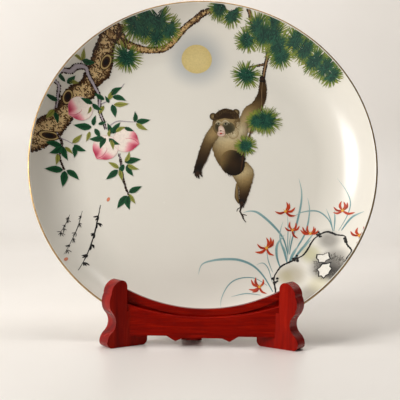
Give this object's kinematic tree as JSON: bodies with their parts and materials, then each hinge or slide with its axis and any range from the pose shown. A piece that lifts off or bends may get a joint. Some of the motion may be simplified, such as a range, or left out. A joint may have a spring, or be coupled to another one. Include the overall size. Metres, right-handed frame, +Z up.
{
  "type": "porcelain display plate on stand",
  "caption": "Large round painted porcelain plate with a foot ring, leaning back in a red lacquered wooden plate stand with splayed side panels and a folding rear leg.",
  "frame": {"origin": "bottom centre of the whole object, on the surface it stands on", "axes": "+Z up, -Y the painted front, +X to the right of someone looking at the front"},
  "size_m": [0.41, 0.2132, 0.4002],
  "materials": {
    "porcelain": "glossy warm white glaze with overglaze painting",
    "rosewood": "red brown lacquer, glossy",
    "brass": "satin",
    "felt": "matt"
  },
  "bodies": {
    "stand": {"left_side_panel": "rosewood", "right_side_panel": "rosewood", "front_rail": "rosewood", "rear_rail": "rosewood", "rear_stretcher": "rosewood", "keel": "rosewood", "back_post": "rosewood", "rest_pad": "felt", "leg_bracket": "brass", "bracket_screws": "brass", "pivot_pin": "brass", "rail_dowels": "rosewood", "stretcher_dowels": "rosewood", "keel_screws": "brass"},
    "plate": {"plate": "porcelain"},
    "leg": {"rear_leg": "rosewood", "pivot_washers": "brass"}
  },
  "joints": [
    {"name": "plate_lift", "type": "slide", "parent": "stand", "child": "plate", "axis": [0, 0, 1], "range_m": [0, 0.25]},
    {"name": "leg_fold", "type": "hinge", "parent": "stand", "child": "leg", "pos_m": [-0.011, 0.0524, 0.18509], "axis": [-1, 0, 0], "range_deg": [0, 33]}
  ]
}
